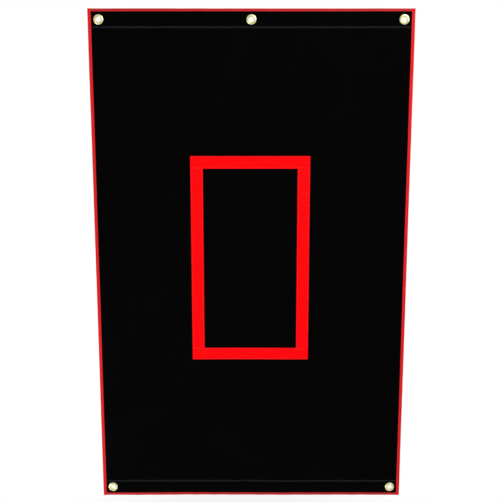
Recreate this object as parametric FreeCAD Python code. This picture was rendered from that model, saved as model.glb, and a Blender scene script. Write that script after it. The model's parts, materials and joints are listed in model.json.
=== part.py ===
"""Hanging ball-target backstop panel: a sheet of black coated cloth with a red target frame sewn on,
red edge binding on all four sides, a webbing-backed hem along the top and bottom, and brass grommets.

Frame: X across the panel, Z up, Y through its thickness, front facing -Y. The origin is the centre of
the top middle grommet's hole, halfway through the hem. Units are millimetres."""

import FreeCAD, Part

import os

# Overall size, over the folded edges of the binding
panel_width = 1219.2
panel_height = 1930.4

# Layers, from front to back
sheet_thickness = 0.8
webbing_thickness = 1.2
tape_thickness = 0.6
target_thickness = 0.5

# Edge binding: how far the tape shows in from each edge, on the front and on the back
side_binding_width = 12.6
end_binding_width = 10.6

# Grommets and their washers
hole_radius = 9.5
flange_width = 8.75
brass_thickness = 0.8
flange_height = 2.4
flange_crown_radius = 2.0
flange_shoulder_share = 0.62
washer_rim_inset = 0.65
washer_land = 2.1
washer_height = 1.6
roll_radius = 1.0
barrel_clearance = 0.2

# Gaps between a grommet's rim and the binding's inner edge
side_grommet_gap = 9.15
top_grommet_gap = 10.65
bottom_grommet_gap = 6.75

# Target frame: its outside size, the width of its strips and where it sits on the panel
target_width = 460.4
target_height = 806.5
target_strip_width = 48.0
target_top_inset = 543.2
target_offset_x = -4.4

# Sewing thread: each row of stitches is a flat bar of thread on the front and another on the back.
# A hem has two rows, and its gap runs from the grommets' rims to the middle of the nearer row.
thread_width = 0.9
thread_thickness = 0.4
binding_stitch_inset = 2.4
hem_stitch_inset = 2.0
hem_row_spacing = 4.0
top_hem_gap = 7.75
bottom_hem_gap = 6.15
target_stitch_inset = 3.0
thread_end_gap = 1.0

# Levels through the thickness
hem_thickness = sheet_thickness + webbing_thickness
sheet_front = -hem_thickness / 2
sheet_back = sheet_front + sheet_thickness
webbing_back = hem_thickness / 2
washer_face = webbing_back + brass_thickness

# Grommet sizes that follow from the hole
flange_radius = hole_radius + flange_width
barrel_radius = hole_radius + brass_thickness
washer_radius = flange_radius - washer_rim_inset
cut_hole_radius = barrel_radius + barrel_clearance

# Insets of the grommets' centres from the panel's edges, and the depth of the webbing behind each hem
side_grommet_inset = side_binding_width + side_grommet_gap + flange_radius
top_grommet_inset = end_binding_width + top_grommet_gap + flange_radius
bottom_grommet_inset = end_binding_width + bottom_grommet_gap + flange_radius
hem_seam_width = hem_row_spacing + hem_stitch_inset
top_hem_depth = top_grommet_inset + flange_radius + top_hem_gap + hem_seam_width
bottom_hem_depth = bottom_grommet_inset + flange_radius + bottom_hem_gap + hem_seam_width

# Edges of the panel, and of the sheet inside the binding
left = -panel_width / 2
right = panel_width / 2
top = top_grommet_inset
bottom = top - panel_height
sheet_left = left + tape_thickness
sheet_right = right - tape_thickness
sheet_top = top - tape_thickness
sheet_bottom = bottom + tape_thickness
top_hem_edge = top - top_hem_depth
bottom_hem_edge = bottom + bottom_hem_depth

# Grommet places: name to (x, z)
grommet_x = panel_width / 2 - side_grommet_inset
bottom_grommet_z = bottom + bottom_grommet_inset
grommet_places = {
    "top_left": (-grommet_x, 0.0),
    "top_centre": (0.0, 0.0),
    "top_right": (grommet_x, 0.0),
    "bottom_left": (-grommet_x, bottom_grommet_z),
    "bottom_right": (grommet_x, bottom_grommet_z),
}

# Edges of the target frame, and of the opening inside it
target_left = target_offset_x - target_width / 2
target_right = target_offset_x + target_width / 2
target_top = top - target_top_inset
target_bottom = target_top - target_height
inner_left = target_left + target_strip_width
inner_right = target_right - target_strip_width
inner_top = target_top - target_strip_width
inner_bottom = target_bottom + target_strip_width
target_front = sheet_front - target_thickness


def block(x_range, y_range, z_range):
    """A box between two values along each axis, given in either order."""
    lows = [min(r) for r in (x_range, y_range, z_range)]
    sizes = [max(r) - min(r) for r in (x_range, y_range, z_range)]
    return Part.makeBox(*sizes, FreeCAD.Vector(*lows))


def drilled(shape):
    """The shape with a hole cut for each grommet's barrel that passes through it."""
    box = shape.BoundBox
    for x, z in grommet_places.values():
        if box.XMin < x < box.XMax and box.ZMin < z < box.ZMax:
            start = FreeCAD.Vector(x, box.YMin - 1, z)
            drill = Part.makeCylinder(cut_hole_radius, box.YLength + 2, start, FreeCAD.Vector(0, 1, 0))
            shape = shape.cut(drill)
    return shape


def turned(profile, x, z):
    """A ring turned from a closed profile of (radius, y) edges about the hole's axis at (x, z).

    Each edge is a list of points: two for a straight line, three for an arc through the middle one."""
    edges = []
    for points in profile:
        ends = [FreeCAD.Vector(x + radius, y, z) for radius, y in points]
        if len(ends) == 2:
            edges.append(Part.makeLine(*ends))
        else:
            edges.append(Part.Arc(*ends).toShape())
    face = Part.Face(Part.Wire(edges))
    ring = face.revolve(FreeCAD.Vector(x, 0, z), FreeCAD.Vector(0, 1, 0), 360)
    return ring if ring.Volume > 0 else ring.reversed()


def arc_middle(centre, radius, direction):
    """The point on a quarter or half round, from its centre towards a (radius, y) direction."""
    length = (direction[0] ** 2 + direction[1] ** 2) ** 0.5
    return (
        centre[0] + radius * direction[0] / length,
        centre[1] + radius * direction[1] / length,
    )


def main_sheet():
    """The black sheet, whole behind the target and drilled for the grommets."""
    sheet = block((sheet_left, sheet_right), (sheet_front, sheet_back), (sheet_bottom, sheet_top))
    return drilled(sheet)


def hem_webbing(outer_edge, inner_edge):
    """A strip of webbing behind the sheet, from the sheet's edge to the hem's inner edge."""
    strip = block((sheet_left, sheet_right), (sheet_back, webbing_back), (outer_edge, inner_edge))
    return drilled(strip)


def end_binding(outer_edge, inwards, filling):
    """Tape folded over the sheet and webbing along the top or bottom edge."""
    depth = (sheet_front - tape_thickness, webbing_back + tape_thickness)
    tape = block((sheet_left, sheet_right), depth, (outer_edge, outer_edge + inwards * end_binding_width))
    return tape.cut(filling)


def side_binding(outer_edge, inwards, filling):
    """Tape folded over one side edge from top to bottom, stepping out over the hems and their binding."""
    across = (outer_edge, outer_edge + inwards * side_binding_width)
    front = sheet_front - tape_thickness
    back = sheet_back + tape_thickness
    hem_back = webbing_back + tape_thickness
    corner = (front - tape_thickness, hem_back + tape_thickness)
    top_step = top_hem_edge - tape_thickness
    bottom_step = bottom_hem_edge + tape_thickness
    corner_step = end_binding_width + tape_thickness
    tape = block(across, (front, back), (bottom, top))
    tape = tape.fuse(block(across, (front, hem_back), (top, top_step)))
    tape = tape.fuse(block(across, (front, hem_back), (bottom, bottom_step)))
    tape = tape.fuse(block(across, corner, (top, top - corner_step)))
    tape = tape.fuse(block(across, corner, (bottom, bottom + corner_step)))
    return tape.removeSplitter().cut(filling)


def grommet(x, z):
    """A brass eyelet: a domed flange on the front, a barrel through the hem, and its rolled-over end."""
    start = sheet_front + flange_crown_radius - flange_height
    crown = sheet_front - flange_height
    crown_r = hole_radius + flange_crown_radius
    shoulder_r = crown_r + flange_shoulder_share * (flange_radius - crown_r)
    shoulder = sheet_front - flange_height * flange_shoulder_share
    inside = flange_crown_radius - brass_thickness
    under = crown + brass_thickness
    roll = (hole_radius + brass_thickness / 2 + roll_radius, washer_face)
    outer_roll = roll_radius + brass_thickness / 2
    inner_roll = roll_radius - brass_thickness / 2
    profile = [
        [(flange_radius, sheet_front), (shoulder_r, shoulder), (crown_r, crown)],
        [
            (crown_r, crown),
            arc_middle((crown_r, start), flange_crown_radius, (-1, -1)),
            (hole_radius, start),
        ],
        [(hole_radius, start), (hole_radius, washer_face)],
        [
            (hole_radius, washer_face),
            arc_middle(roll, outer_roll, (0, 1)),
            (roll[0] + outer_roll, washer_face),
        ],
        [(roll[0] + outer_roll, washer_face), (roll[0] + inner_roll, washer_face)],
        [
            (roll[0] + inner_roll, washer_face),
            arc_middle(roll, inner_roll, (0, 1)),
            (barrel_radius, washer_face),
        ],
        [(barrel_radius, washer_face), (barrel_radius, start)],
        [
            (barrel_radius, start),
            arc_middle((crown_r, start), inside, (-1, -1)),
            (crown_r, under),
        ],
        [
            (crown_r, under),
            (shoulder_r - brass_thickness / 2, shoulder + brass_thickness * 0.9),
            (flange_radius - brass_thickness, sheet_front),
        ],
        [(flange_radius - brass_thickness, sheet_front), (flange_radius, sheet_front)],
    ]
    return turned(profile, x, z)


def washer(x, z):
    """The brass ring behind the hem that the grommet's end is rolled over: a flat land and a domed rim."""
    inner = barrel_radius + barrel_clearance
    land = inner + washer_land
    crown_r = (land + washer_radius) / 2
    profile = [
        [(inner, webbing_back), (inner, washer_face)],
        [(inner, washer_face), (land, washer_face)],
        [
            (land, washer_face),
            (crown_r, webbing_back + washer_height),
            (washer_radius, webbing_back),
        ],
        [(washer_radius, webbing_back), (washer_radius - brass_thickness, webbing_back)],
        [
            (washer_radius - brass_thickness, webbing_back),
            (crown_r, webbing_back + washer_height - brass_thickness),
            (land + brass_thickness / 2, webbing_back),
        ],
        [(land + brass_thickness / 2, webbing_back), (inner, webbing_back)],
    ]
    return turned(profile, x, z)


def target_strip(x_range, z_range):
    """One strip of the target frame, lying on the sheet's front."""
    return block(x_range, (target_front, sheet_front), z_range)


def thread(x_range, z_range, front, back):
    """A row of stitches: one bar of thread on the front surface and one on the back surface."""
    return [
        block(x_range, (front - thread_thickness, front), z_range),
        block(x_range, (back, back + thread_thickness), z_range),
    ]


def thread_line(centre):
    """The low and high edge of a thread whose centre is given."""
    return (centre - thread_width / 2, centre + thread_width / 2)


def side_stitching(outer_edge, inwards):
    """The row along a side binding, on each level that the tape steps over."""
    across = thread_line(outer_edge + inwards * (side_binding_width - binding_stitch_inset))
    front = sheet_front - tape_thickness
    back = sheet_back + tape_thickness
    hem_back = webbing_back + tape_thickness
    corner_step = end_binding_width + tape_thickness
    bars = []
    for edge, hem_edge, down in ((top, top_hem_edge, -1), (bottom, bottom_hem_edge, 1)):
        over_corner = (edge, edge + down * corner_step)
        over_hem = (edge + down * corner_step, hem_edge + down * tape_thickness)
        bars += thread(across, over_corner, front - tape_thickness, hem_back + tape_thickness)
        bars.append(block(across, (hem_back, hem_back + thread_thickness), over_hem))
    middle = (bottom + corner_step, top - corner_step)
    between_hems = (bottom_hem_edge + tape_thickness, top_hem_edge - tape_thickness)
    bars.append(block(across, (front - thread_thickness, front), middle))
    bars.append(block(across, (back, back + thread_thickness), between_hems))
    return bars


def between_side_bindings():
    """The x range that is left between the two side bindings, less a gap at each end."""
    reach = panel_width / 2 - side_binding_width - thread_end_gap
    return (-reach, reach)


def end_stitching(outer_edge, inwards):
    """The row along the top or bottom binding, between the side bindings."""
    height = thread_line(outer_edge + inwards * (end_binding_width - binding_stitch_inset))
    front = sheet_front - tape_thickness
    return thread(between_side_bindings(), height, front, webbing_back + tape_thickness)


def hem_stitching(hem_edge, outwards):
    """The two rows side by side that hold the webbing's inner edge to the sheet."""
    bars = []
    for row in (0, 1):
        centre = hem_edge + outwards * (hem_stitch_inset + row * hem_row_spacing)
        bars += thread(between_side_bindings(), thread_line(centre), sheet_front, webbing_back)
    return bars


def strip_stitching(x_range, z_range, along_x):
    """The two rows along the long edges of one target strip."""
    bars = []
    if along_x:
        ends = (x_range[0] + thread_end_gap, x_range[1] - thread_end_gap)
        for centre in (min(z_range) + target_stitch_inset, max(z_range) - target_stitch_inset):
            bars += thread(ends, thread_line(centre), target_front, sheet_back)
    else:
        ends = (min(z_range) + thread_end_gap, max(z_range) - thread_end_gap)
        for centre in (x_range[0] + target_stitch_inset, x_range[1] - target_stitch_inset):
            bars += thread(thread_line(centre), ends, target_front, sheet_back)
    return bars


nodes = {"main_sheet": main_sheet()}
nodes["top_hem_webbing"] = hem_webbing(sheet_top, top_hem_edge)
nodes["bottom_hem_webbing"] = hem_webbing(sheet_bottom, bottom_hem_edge)

layers = [nodes["main_sheet"], nodes["top_hem_webbing"], nodes["bottom_hem_webbing"]]
nodes["top_binding"] = end_binding(top, -1, layers)
nodes["bottom_binding"] = end_binding(bottom, 1, layers)

layers += [nodes["top_binding"], nodes["bottom_binding"]]
nodes["left_binding"] = side_binding(left, 1, layers)
nodes["right_binding"] = side_binding(right, -1, layers)

strips = {
    "top": ((target_left, target_right), (inner_top, target_top), True),
    "bottom": ((target_left, target_right), (target_bottom, inner_bottom), True),
    "left": ((target_left, inner_left), (inner_bottom, inner_top), False),
    "right": ((inner_right, target_right), (inner_bottom, inner_top), False),
}
for side, (x_range, z_range, along_x) in strips.items():
    nodes[f"target_strip_{side}"] = target_strip(x_range, z_range)
    nodes[f"target_stitching_{side}"] = Part.makeCompound(strip_stitching(x_range, z_range, along_x))

for place, (x, z) in grommet_places.items():
    nodes[f"grommet_{place}"] = grommet(x, z)
    nodes[f"washer_{place}"] = washer(x, z)

nodes["top_hem_stitching"] = Part.makeCompound(hem_stitching(top_hem_edge, 1))
nodes["bottom_hem_stitching"] = Part.makeCompound(hem_stitching(bottom_hem_edge, -1))
nodes["top_binding_stitching"] = Part.makeCompound(end_stitching(top, -1))
nodes["bottom_binding_stitching"] = Part.makeCompound(end_stitching(bottom, 1))
nodes["left_binding_stitching"] = Part.makeCompound(side_stitching(left, 1))
nodes["right_binding_stitching"] = Part.makeCompound(side_stitching(right, -1))

os.makedirs("parts", exist_ok=True)
for name, shape in nodes.items():
    shape.exportStep(f"parts/{name}.step")
    print(f"{name}: {len(shape.Solids)} solids, {shape.Volume:.1f} mm3, valid {shape.isValid()}")
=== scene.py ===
import json
import math

import bmesh
import bpy
import numpy as np
from bpy.props import FloatProperty, FloatVectorProperty, IntProperty, PointerProperty
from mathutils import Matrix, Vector


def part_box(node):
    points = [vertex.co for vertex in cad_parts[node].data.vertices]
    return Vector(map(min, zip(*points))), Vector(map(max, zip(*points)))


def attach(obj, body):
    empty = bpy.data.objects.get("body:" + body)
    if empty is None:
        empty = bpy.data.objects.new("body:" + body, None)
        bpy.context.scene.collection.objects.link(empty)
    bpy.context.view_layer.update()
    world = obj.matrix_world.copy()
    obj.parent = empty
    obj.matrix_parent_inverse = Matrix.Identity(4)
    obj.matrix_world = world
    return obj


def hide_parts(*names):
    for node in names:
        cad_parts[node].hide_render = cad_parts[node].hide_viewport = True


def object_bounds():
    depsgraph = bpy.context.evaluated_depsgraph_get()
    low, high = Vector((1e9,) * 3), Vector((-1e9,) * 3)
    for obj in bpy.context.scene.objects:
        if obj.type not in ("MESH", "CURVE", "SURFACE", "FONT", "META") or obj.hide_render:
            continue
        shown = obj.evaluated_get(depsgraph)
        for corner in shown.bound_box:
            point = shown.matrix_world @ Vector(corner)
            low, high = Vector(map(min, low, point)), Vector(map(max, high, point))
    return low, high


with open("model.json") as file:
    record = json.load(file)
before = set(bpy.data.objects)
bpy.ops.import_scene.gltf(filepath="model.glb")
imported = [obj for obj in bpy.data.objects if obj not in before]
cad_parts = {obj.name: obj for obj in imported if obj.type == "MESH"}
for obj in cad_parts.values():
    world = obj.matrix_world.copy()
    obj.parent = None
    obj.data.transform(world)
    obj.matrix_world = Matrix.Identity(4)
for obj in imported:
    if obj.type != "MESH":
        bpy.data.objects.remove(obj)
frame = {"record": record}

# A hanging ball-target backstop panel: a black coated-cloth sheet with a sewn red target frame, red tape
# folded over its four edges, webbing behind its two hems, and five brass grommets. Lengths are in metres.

bl_info = {
    "name": "Backstop target panel",
    "version": (1, 0, 0),
    "blender": (4, 5, 0),
    "location": "View3D > Sidebar > Backstop",
    "description": "Builds a grommeted backstop panel with a sewn target frame around its engineering model",
    "category": "Object",
}

BODY = "root"
MM = 0.001
ENDS = ("top", "bottom")
# For each edge of the panel, the axis across it and the axis along it.
EDGES = {"top": ("z", "x"), "bottom": ("z", "x"), "left": ("x", "z"), "right": ("x", "z")}


def span(node, axis):
    """The lowest and highest place of a CAD node along x, y or z."""
    low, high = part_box(node)
    return getattr(low, axis), getattr(high, axis)


def row_pair(node, axis):
    """The middles of the two outermost rows of stitches in a CAD node, along x or z."""
    low, high = span(node, axis)
    return low + THREAD_WIDTH / 2, high - THREAD_WIDTH / 2


cad_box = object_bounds()
sheet_low, sheet_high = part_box("main_sheet")
SHEET_SIZE = (sheet_high.x - sheet_low.x, sheet_high.z - sheet_low.z)
BORES = [mount for mount in frame["record"]["mounts"] if mount["kind"] == "bore"]
CENTRES = {m["name"].replace("grommet_", ""): (m["pos_m"][0], m["pos_m"][2]) for m in BORES}
BORE = BORES[0]["dims"]["r_mm"] * MM

# The layers' thicknesses, and the levels and edges that they bring about.
WEBBING_FRONT, WEBBING_BACK = span("top_hem_webbing", "y")
TAPE_THICKNESS = cad_box[1].x - sheet_high.x
LEG_THICKNESS = 0.98 * TAPE_THICKNESS
METAL = 0.8 * MM
CLOTH_HOLE = BORE + METAL + 0.2 * MM
TAPE_FRONT = sheet_low.y - TAPE_THICKNESS
TAPE_BACK = sheet_high.y + TAPE_THICKNESS
HEM_TAPE_BACK = WEBBING_BACK + TAPE_THICKNESS
HEM_EDGES = (span("bottom_hem_webbing", "z")[1], span("top_hem_webbing", "z")[0])
LAP_EDGES = (span("bottom_binding", "z")[1], span("top_binding", "z")[0])

# Seams.
THREAD_WIDTH = np.ptp(span("top_binding_stitching", "z"))
THREAD_RADIUS = 0.42 * THREAD_WIDTH
HEM_ROWS = {end: row_pair(f"{end}_hem_stitching", "z") for end in ENDS}
SEAM_MARGIN = 2.4 * MM
SEAM_POINT_SPACING = 9 * MM
# Shares of a seam's dip: how deep its stitches lie in it, and how much of it tape takes on.
THREAD_DEPTH = 0.7
TAPE_DIP = 0.7

# How finely and how roundly pieces are made.
CREASE = math.radians(38)
RING_CREASE = math.radians(50)
FOLD_RADIUS = 1.6 * MM
CUT_EDGE_RADIUS = 0.2 * MM
CLEARANCE = 0.01 * MM
PATCH_CELLS = 12
PATCH_RINGS = 9

# A side tape's steps over the webbing and over the end of another tape: how long each step takes, how far
# along the tape its closer sections reach, and their spacing.
HEM_RAMP, HEM_REACH, HEM_STEP = 2 * MM, 3 * MM, 0.5 * MM
LAP_RAMP, LAP_REACH, LAP_STEP = 1.2 * MM, 2 * MM, 1 * MM
NO_RAMP = 0.001 * MM

# The edge of a strip of webbing: its width and radius, and how far from it the ribs fade.
WOVEN_EDGE = 0.5 * MM
WOVEN_RADIUS = (WEBBING_BACK - WEBBING_FRONT) * 0.48
RIB_FADE = (0.3 * MM, 1.2 * MM)

# Where the cloth is held at a grommet, where it is free to stand off its plane, and how it hangs.
HELD_RADIUS = 24 * MM
FREE_RADIUS = 130 * MM
FIRST_WAVE_HEIGHT = 4 * MM
HANGING = {
    "quality": 6,
    "mass": 0.0008,
    "tension_stiffness": 40,
    "compression_stiffness": 40,
    "shear_stiffness": 20,
    "bending_stiffness": 8,
    "air_damping": 3,
    "vertex_group_mass": "held",
}

# The folds that a set grommet presses round itself rise and fade between these distances.
PUCKER_FOLDS = 7
PUCKER_RISE = (15 * MM, 18.5 * MM)
PUCKER_FADE = (19 * MM, 36 * MM)

# The colour of the bare scrim at the sheet's back, and the number of sides of the round floor.
SCRIM_COLOUR = (0.0042, 0.0042, 0.0047)
FLOOR_SIDES = 96

# Each light's place from the panel's middle, its width and height, and its share of the key power.
LIGHTS = {
    "left_light": ((-2.5, -1.7, -1.6), 1.3, 2.4, 1.0),
    "right_light": ((2.1, -1.7, 2.0), 1.3, 2.4, 0.9),
    "top_light": ((1.3, -1.5, 2.8), 2.4, 1.0, 0.8),
    "back_left_light": ((-2.3, 2.4, 1.0), 1.4, 2.0, 0.7),
    "back_right_light": ((2.6, 2.1, 0.2), 1.4, 2.0, 0.5),
}


# ---- Sizes and colours that a user would change


def length(name, description, default):
    """A length in metres."""
    return FloatProperty(name=name, description=description, default=default, unit="LENGTH", precision=5)


def colour(name, description, default):
    """A linear colour."""
    return FloatVectorProperty(
        name=name, description=description, default=default, subtype="COLOR", size=3, min=0.0, max=1.0
    )


class ClothSettings(bpy.types.PropertyGroup):
    """How the sheet hangs and how finely it and its webbing are made."""

    billow: length("Billow", "Most that the hung sheet stands off its plane", 3.5 * MM)
    hang_frames: IntProperty(name="Hang frames", description="Steps of the hanging simulation", default=24)
    hang_cell: length("Hang cell", "Spacing of the simulated cloth's points", 38 * MM)
    cell: length("Cell", "Spacing of the finished sheet's points away from seams", 13 * MM)
    seam_cell: length("Seam cell", "Spacing of the sheet's points across a seam", 0.75 * MM)
    seam_dip: length("Seam dip", "How far a row of stitches pulls the sheet in", 0.22 * MM)
    seam_spread: length("Seam spread", "Half width of the groove that stitches pull in", 1.1 * MM)
    pucker: length("Pucker", "Height of the folds that a set grommet presses round itself", 0.22 * MM)
    patch: length("Grommet patch", "Half side of the finely made square at a grommet", 22 * MM)
    colour: colour("Sheet", "Colour of the black coated cloth", (0.0005, 0.0005, 0.0006))
    rib: length("Webbing rib", "Spacing of the webbing's lengthwise ribs", 2.3 * MM)
    rib_depth: length("Rib depth", "Depth of the furrows between the webbing's ribs", 0.16 * MM)
    webbing_colour: colour("Webbing", "Colour of the hem webbing", (0.0065, 0.0066, 0.0075))


class TapeSettings(bpy.types.PropertyGroup):
    """The red tape folded over the panel's edges and the strips of the target frame."""

    station: length("Station", "Spacing of the tape's sections along an edge", 7 * MM)
    selvedge: length("Selvedge", "Radius of the tape's thick woven border", 0.34 * MM)
    wander: length("Wander", "How far the sewn edge strays from a straight line", 0.16 * MM)
    # The top and bottom tapes are the same red tape as the sides. Their darker colour is painted shade.
    side_colour: colour("Side tape", "Colour of the tape on the two sides", (0.71, 0.0095, 0.0110))
    shaded_end_colour: colour("End tape", "Colour of the tape on the top and bottom edges", (0.50, 0.014, 0.015))
    target_colour: colour("Target", "Colour of the target frame's vinyl", (0.97, 0.0016, 0.0034))


class HardwareSettings(bpy.types.PropertyGroup):
    """The brass grommets, their washers and the sewing thread."""

    segments: IntProperty(name="Segments", description="Faces round a grommet", default=96)
    brass: colour("Brass", "Colour of the grommets and washers", (0.90, 0.86, 0.44))
    stitch_pitch: length("Stitch pitch", "Distance from one stitch to the next", 4.2 * MM)
    stitch_length: length("Stitch length", "Length of thread that shows in one stitch", 3.5 * MM)
    hem_thread: colour("Hem thread", "Colour of the hem's grey thread", (0.060, 0.066, 0.080))
    red_thread: colour("Red thread", "Colour of the thread in the red pieces", (0.72, 0.045, 0.046))
    seed: IntProperty(name="Seed", description="Seed for the unevenness of the stitches", default=11)


class StageSettings(bpy.types.PropertyGroup):
    """Camera, lights and floor."""

    lens: FloatProperty(name="Lens", description="Focal length in millimetres", default=50.2)
    sensor: FloatProperty(name="Sensor", description="Sensor width in millimetres", default=36.0)
    distance: length("Distance", "From the camera to the panel's plane", 2.7049)
    below_top: length("Below top", "Height of the camera below the panel's top edge", 0.4928)
    aside: length("Aside", "Camera's place to the right of the panel's middle", -0.0015)
    tilt: FloatProperty(
        name="Tilt", description="How far the camera looks down", default=math.radians(8.79), subtype="ANGLE"
    )
    key: FloatProperty(name="Key", description="Power of the strongest light in watts", default=38.0)
    floor_drop: length("Floor drop", "From the panel's bottom edge to the floor", 0.75)
    floor_radius: length("Floor radius", "Radius of the round floor", 1.8)


GROUPS = {
    "backstop_cloth": ClothSettings,
    "backstop_tape": TapeSettings,
    "backstop_hardware": HardwareSettings,
    "backstop_stage": StageSettings,
}


# ---- The hung sheet: how far it leans off its plane at any place


class HungCloth:
    """Offsets along Y on an even grid of places, read between them with a smooth curve."""

    x = z = lean = None

    def at(self, x, z):
        """The sheet's offset at places x, z, fading to none at the grommets."""
        x, z = np.broadcast_arrays(np.asarray(x, float), np.asarray(z, float))
        total = np.zeros(x.shape)
        column, across = spline_weights(self.x, x)
        row, up = spline_weights(self.z, z)
        for i in range(4):
            for k in range(4):
                total += across[i] * up[k] * self.lean[column + i, row + k]
        for centre in CENTRES.values():
            total *= smooth(reach(x, z, centre), HELD_RADIUS, FREE_RADIUS)
        return total


hung = HungCloth()


def reach(x, z, centre):
    """How far places x, z are from a centre."""
    return np.hypot(x - centre[0], z - centre[1])


def smooth(value, low, high):
    """0 below low, 1 above high, and an even curve between."""
    t = np.clip((value - low) / (high - low), 0.0, 1.0)
    return t * t * (3 - 2 * t)


def spline_weights(places, value):
    """For each value, the index of its cell in evenly spaced places and the weights of four neighbours."""
    share = (value - places[0]) / (places[1] - places[0])
    cell = np.clip(np.floor(share).astype(int), 0, len(places) - 2)
    t = share - cell
    weights = (
        -0.5 * t + t**2 - 0.5 * t**3,
        1 - 2.5 * t**2 + 1.5 * t**3,
        0.5 * t + 2 * t**2 - 1.5 * t**3,
        -0.5 * t**2 + 0.5 * t**3,
    )
    return cell, weights


def first_waves(x, z):
    """The slight waviness that the cloth starts to hang with: three long waves that cross each other."""
    down = (sheet_high.z - z) / SHEET_SIZE[1]
    aside = x / SHEET_SIZE[0]
    waves = 0.55 * np.sin(2 * math.pi * (1.5 * aside + 0.35 * down) + 0.6)
    waves += 0.45 * np.sin(2 * math.pi * (0.6 * down - 0.9 * aside) + 1.9)
    waves += 0.30 * np.sin(2 * math.pi * (2.6 * aside * (1 - down) + 1.1 * down))
    return FIRST_WAVE_HEIGHT * waves


def hang_cloth(settings):
    """Lets a coarse sheet hang from the grommets, and keeps how far it ends up off its plane."""
    columns, rows = (round(size / settings.hang_cell) for size in SHEET_SIZE)
    hung.x = np.linspace(sheet_low.x, sheet_high.x, columns + 1)
    hung.z = np.linspace(sheet_low.z, sheet_high.z, rows + 1)
    grid_x, grid_z = np.meshgrid(hung.x, hung.z, indexing="ij")
    start = first_waves(grid_x, grid_z)
    lean = simulated(grid_x, start, grid_z, settings.hang_frames)
    lean = lean - lean.mean()
    lean = lean * min(1.0, settings.billow / np.abs(lean).max())
    hung.lean = np.pad(lean, 1, mode="reflect", reflect_type="odd")


def simulated(grid_x, grid_y, grid_z, frames):
    """The Y offsets of a cloth, held at the grommets, after it has hung for some frames."""
    points = np.stack([grid_x, grid_y, grid_z], axis=-1).reshape(-1, 3)
    mesh = bpy.data.meshes.new("hanging_cloth")
    mesh.from_pydata(points.tolist(), [], grid_quads(grid_x.shape).reshape(-1, 4).tolist())
    cloth = linked("hanging_cloth", mesh)
    held = cloth.vertex_groups.new(name=HANGING["vertex_group_mass"])
    hold_reach = 1.2 * (grid_z[0, 1] - grid_z[0, 0])
    for centre in CENTRES.values():
        near = reach(points[:, 0], points[:, 2], centre) < hold_reach
        held.add(np.nonzero(near)[0].tolist(), 1.0, "REPLACE")
    modifier = cloth.modifiers.new("hang", "CLOTH")
    for key, value in HANGING.items():
        setattr(modifier.settings, key, value)
    modifier.point_cache.frame_start = 1
    modifier.point_cache.frame_end = frames
    for number in range(1, frames + 1):
        bpy.context.scene.frame_set(number)
    evaluated = cloth.evaluated_get(bpy.context.evaluated_depsgraph_get())
    places = read(evaluated.to_mesh().vertices, "co", 3)
    evaluated.to_mesh_clear()
    bpy.data.objects.remove(cloth)
    bpy.data.meshes.remove(mesh)
    bpy.context.scene.frame_set(1)
    return places[:, 1].astype(float).reshape(grid_x.shape)


# ---- Mesh helpers


def spaced(low, high, spacing):
    """Evenly spaced places from low to high, about spacing apart."""
    return np.linspace(low, high, max(1, round((high - low) / spacing)) + 1)


def graded(low, high, spacing, fine):
    """Places from low to high, at their own spacing in each (start, end, spacing) stretch of fine."""
    lines = [low]
    for start, end, fine_spacing in sorted(fine):
        lines += list(spaced(lines[-1], start, spacing))[1:]
        lines += list(spaced(start, end, fine_spacing))[1:]
    lines += list(spaced(lines[-1], high, spacing))[1:]
    return np.array(lines)


def round_points(centre, radius, start, end, count):
    """Points on an arc from one angle to another, in degrees."""
    angles = np.radians(np.linspace(start, end, count))
    return np.stack([centre[0] + radius * np.cos(angles), centre[1] + radius * np.sin(angles)], axis=-1)


def grid_quads(shape):
    """The corners' numbers of each cell of a grid of points."""
    index = np.arange(math.prod(shape)).reshape(shape)
    return np.stack([index[:-1, :-1], index[1:, :-1], index[1:, 1:], index[:-1, 1:]], axis=-1)


def read(things, key, width, kind=np.float32):
    """One attribute of each of a mesh's points or corners, as rows of numbers."""
    values = np.empty(len(things) * width, kind)
    things.foreach_get(key, values)
    return values.reshape(-1, width)


def write(mesh, name, kind, values):
    """Gives a mesh's points an attribute."""
    attribute = mesh.attributes.new(name, kind, "POINT")
    key = "vector" if kind == "FLOAT_VECTOR" else "value"
    attribute.data.foreach_set(key, np.asarray(values, np.float32).ravel())


def linked(name, data):
    """A new object in the scene."""
    thing = bpy.data.objects.new(name, data)
    bpy.context.scene.collection.objects.link(thing)
    return thing


def closed_mesh(vertices, faces):
    """A mesh from vertices and faces, with its normals outwards."""
    mesh = bpy.data.meshes.new("closed")
    mesh.from_pydata(np.asarray(vertices).tolist(), [], faces)
    shape = bmesh.new()
    shape.from_mesh(mesh)
    bmesh.ops.recalc_face_normals(shape, faces=shape.faces)
    shape.to_mesh(mesh)
    shape.free()
    return mesh


def through_tree(mesh, tree, values):
    """A plain mesh: what a Geometry Nodes tree makes of a mesh, with values for the tree's named inputs."""
    source = linked("source", mesh)
    modifier = source.modifiers.new("tree", "NODES")
    modifier.node_group = tree
    for item in tree.interface.items_tree:
        if item.in_out == "INPUT" and item.name in values:
            modifier[item.identifier] = values[item.name]
    bpy.context.view_layer.update()
    made = bpy.data.meshes.new_from_object(source.evaluated_get(bpy.context.evaluated_depsgraph_get()))
    bpy.data.objects.remove(source)
    bpy.data.meshes.remove(mesh)
    return made


materials = {}


def placed(name, mesh, finish, node, crease=CREASE):
    """An object for a finished mesh, shaded, riding on the panel's body in place of a CAD node."""
    mesh.name = name
    mesh.shade_smooth()
    mesh.set_sharp_from_angle(angle=crease)
    mesh.materials.clear()
    mesh.materials.append(materials[finish])
    piece = linked(name, mesh)
    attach(piece, BODY)
    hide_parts(node)
    return piece


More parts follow.
